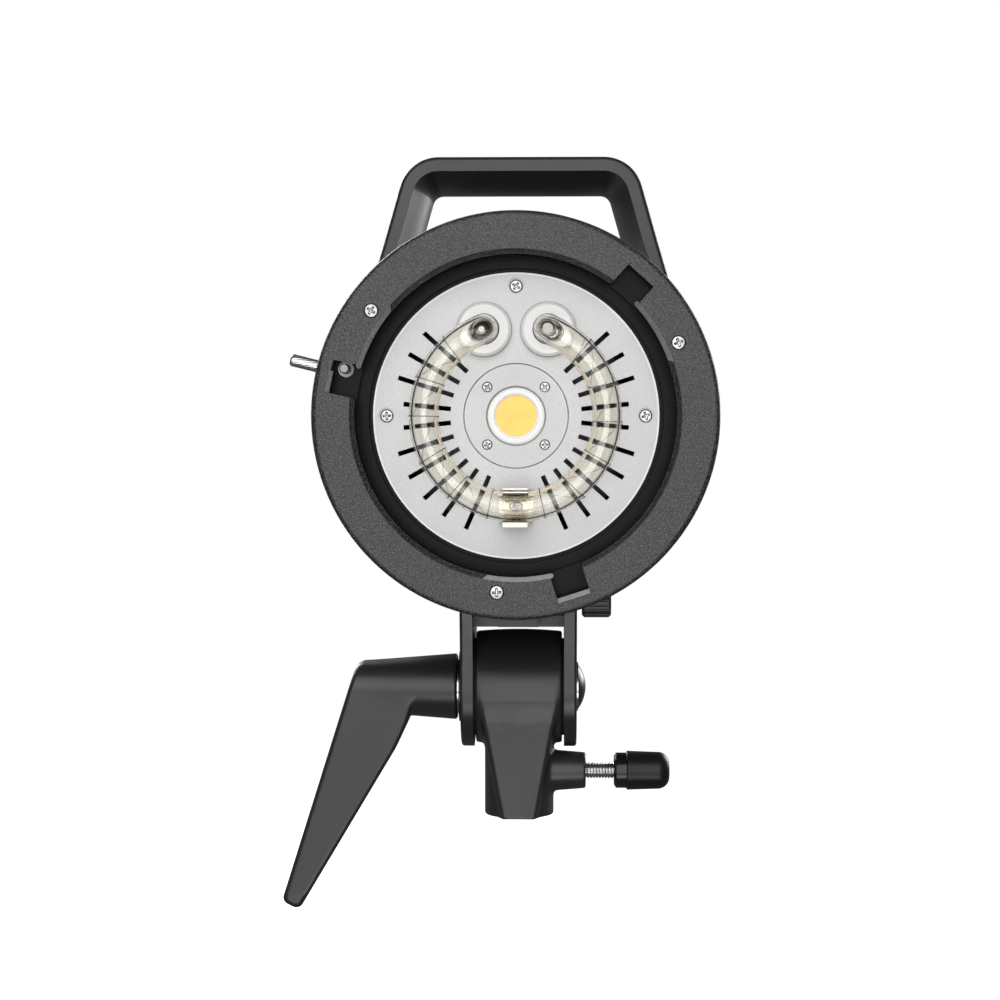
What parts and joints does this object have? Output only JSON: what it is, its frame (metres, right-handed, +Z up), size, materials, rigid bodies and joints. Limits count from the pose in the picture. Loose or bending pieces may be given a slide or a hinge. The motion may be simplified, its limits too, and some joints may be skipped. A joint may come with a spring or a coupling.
{
  "type": "monolight strobe",
  "caption": "Compact studio flash head with a bare ring flash tube, bayonet mount ring, carrying handle and a tilting stand bracket with clamp lever and umbrella socket.",
  "frame": {"origin": "centre of the stand socket's mouth, on the socket's axis", "axes": "+Z up along the stand socket, lamp faces -Y, +X is to the right seen from the front"},
  "size_m": [0.1423, 0.2074, 0.2574],
  "materials": {
    "moulded_black": "fine matte, glass-filled",
    "brass": "turned",
    "fibre": "matt fibre",
    "zinc_steel": "zinc plated",
    "gloss_black": "gloss",
    "rubber_black": "satin rubber",
    "black_painted_steel": "fine matt paint",
    "black_screws": "black oxide",
    "knob_black": "satin",
    "housing_black": "fine grain",
    "handle_black": "fine grain",
    "satin_black_metal": "satin",
    "ring_powder_coat": "sandy powder coat",
    "bright_screws": "bright zinc",
    "knurled_steel": "knurled",
    "spring_steel": "polished strip",
    "blasted_aluminium": "fine sand-blasted",
    "cream_plastic": "smooth",
    "phosphor": "phosphor under silicone",
    "plain_aluminium": "as extruded",
    "clear_glass": "clear",
    "electrode_metal": "sintered metal",
    "white_ceramic": "smooth",
    "fine_wire": "drawn",
    "capacitor_sleeve": "shrink sleeve",
    "circuit_board": "solder mask",
    "fan_black": "moulded",
    "panel_black": "fine grain",
    "display_glass": "gloss",
    "button_grey": "silicone",
    "button_red": "silicone",
    "red_lens": "clear red"
  },
  "bodies": {
    "stand_receiver": {"tilt_block": "moulded_black", "boss_insert": "brass", "friction_washers": "fibre"},
    "stand_screw": {"stand_screw": "zinc_steel"},
    "stand_knob": {"stand_knob_collar": "gloss_black", "stand_knob_cap": "rubber_black"},
    "head": {"yoke": "black_painted_steel", "yoke_screws": "black_screws", "pivot_bolt": "black_screws", "steel_washers": "zinc_steel", "wear_washer": "gloss_black", "upper_housing": "housing_black", "lower_housing": "housing_black", "case_screws": "black_screws", "handle": "handle_black", "handle_screws": "black_screws", "mount_base": "satin_black_metal", "mount_ring": "ring_powder_coat", "mount_ring_screws": "bright_screws", "lock_pin_guide": "bright_screws", "lock_spring": "spring_steel", "reflector_plate": "blasted_aluminium", "reflector_plate_screws": "bright_screws", "led_cover": "blasted_aluminium", "led_cover_screws": "bright_screws", "led_holder_ring": "cream_plastic", "led_module": "phosphor", "led_heatsink": "plain_aluminium", "flash_tube": "clear_glass", "tube_electrodes": "electrode_metal", "tube_bushings": "white_ceramic", "trigger_wire": "fine_wire", "tube_clip": "spring_steel", "tube_clip_screw": "bright_screws", "capacitors": "capacitor_sleeve", "power_board": "circuit_board", "control_board": "circuit_board", "fan_frame": "fan_black", "rear_panel": "panel_black", "display": "display_glass", "switch_housing": "gloss_black", "mains_inlet": "gloss_black", "inlet_pins": "zinc_steel", "sync_socket": "bright_screws", "slave_sensor": "red_lens"},
    "tilt_lever": {"tilt_lever": "moulded_black", "lever_insert": "brass"},
    "umbrella_screw": {"umbrella_screw": "zinc_steel"},
    "umbrella_knob": {"umbrella_knob": "knob_black"},
    "lock_release": {"lock_pin": "bright_screws", "release_rod": "knurled_steel"},
    "power_dial": {"power_dial": "knob_black"},
    "mode_button": {"mode_button": "button_grey"},
    "sound_button": {"sound_button": "button_grey"},
    "slave_button": {"slave_button": "button_grey"},
    "lamp_button": {"lamp_button": "button_grey"},
    "test_button": {"test_button": "button_red"},
    "power_switch": {"switch_rocker": "gloss_black"},
    "fuse_cap": {"fuse_cap": "gloss_black"},
    "fan_rotor": {"fan_rotor": "fan_black"}
  },
  "joints": [
    {"name": "tilt", "type": "hinge", "parent": "stand_receiver", "child": "head", "pos_m": [0, 0, 0.043], "axis": [1, 0, 0], "range_deg": [-90, 90]},
    {"name": "lever_turn", "type": "hinge", "parent": "head", "child": "tilt_lever", "pos_m": [0, 0, 0.043], "axis": [-1, 0, 0], "range_deg": [0, 180]},
    {"name": "stand_travel", "type": "slide", "parent": "stand_receiver", "child": "stand_screw", "axis": [-1, 0, 0], "range_m": [-0.004, 0.009]},
    {"name": "stand_turn", "type": "hinge", "parent": "stand_screw", "child": "stand_knob", "pos_m": [0, 0, 0.0147], "axis": [-1, 0, 0], "range_deg": [-1450, 3250]},
    {"name": "umbrella_travel", "type": "slide", "parent": "head", "child": "umbrella_screw", "axis": [-1, 0, 0], "range_m": [-0.0028, 0.00105]},
    {"name": "umbrella_turn", "type": "hinge", "parent": "umbrella_screw", "child": "umbrella_knob", "pos_m": [0, -0.015, 0.0725], "axis": [-1, 0, 0], "range_deg": [-1450, 550]},
    {"name": "lock_release", "type": "slide", "parent": "head", "child": "lock_release", "axis": [0, 1, 0], "range_m": [0, 0.0045], "stiffness_N_per_m": 400, "springref_m": -0.002, "deforming": ["lock_spring"]},
    {"name": "dial_turn", "type": "hinge", "parent": "head", "child": "power_dial", "pos_m": [0, 0.111, 0.1325], "axis": [0, -1, 0], "continuous": true},
    {"name": "mode_button_press", "type": "slide", "parent": "head", "child": "mode_button", "axis": [0, -1, 0], "range_m": [0, 0.0008], "stiffness_N_per_m": 500, "springref_m": -0.0005},
    {"name": "sound_button_press", "type": "slide", "parent": "head", "child": "sound_button", "axis": [0, -1, 0], "range_m": [0, 0.0008], "stiffness_N_per_m": 500, "springref_m": -0.0005},
    {"name": "slave_button_press", "type": "slide", "parent": "head", "child": "slave_button", "axis": [0, -1, 0], "range_m": [0, 0.0008], "stiffness_N_per_m": 500, "springref_m": -0.0005},
    {"name": "lamp_button_press", "type": "slide", "parent": "head", "child": "lamp_button", "axis": [0, -1, 0], "range_m": [0, 0.0008], "stiffness_N_per_m": 500, "springref_m": -0.0005},
    {"name": "test_button_press", "type": "slide", "parent": "head", "child": "test_button", "axis": [0, -1, 0], "range_m": [0, 0.0008], "stiffness_N_per_m": 500, "springref_m": -0.0005},
    {"name": "switch_rock", "type": "hinge", "parent": "head", "child": "power_switch", "pos_m": [0.0085, 0.109, 0.1], "axis": [1, 0, 0], "range_deg": [0, 16]},
    {"name": "fuse_cap_turn", "type": "hinge", "parent": "head", "child": "fuse_cap", "pos_m": [0.0265, 0.111, 0.101], "axis": [0, 1, 0], "range_deg": [0, 60]},
    {"name": "fan_spin", "type": "hinge", "parent": "head", "child": "fan_rotor", "pos_m": [0, 0.07, 0.1335], "axis": [0, 1, 0], "continuous": true}
  ],
  "couplings": [
    {"joint": "stand_turn", "follows": "stand_travel", "rad_per_m": 6283.2},
    {"joint": "umbrella_turn", "follows": "umbrella_travel", "rad_per_m": 8976}
  ]
}
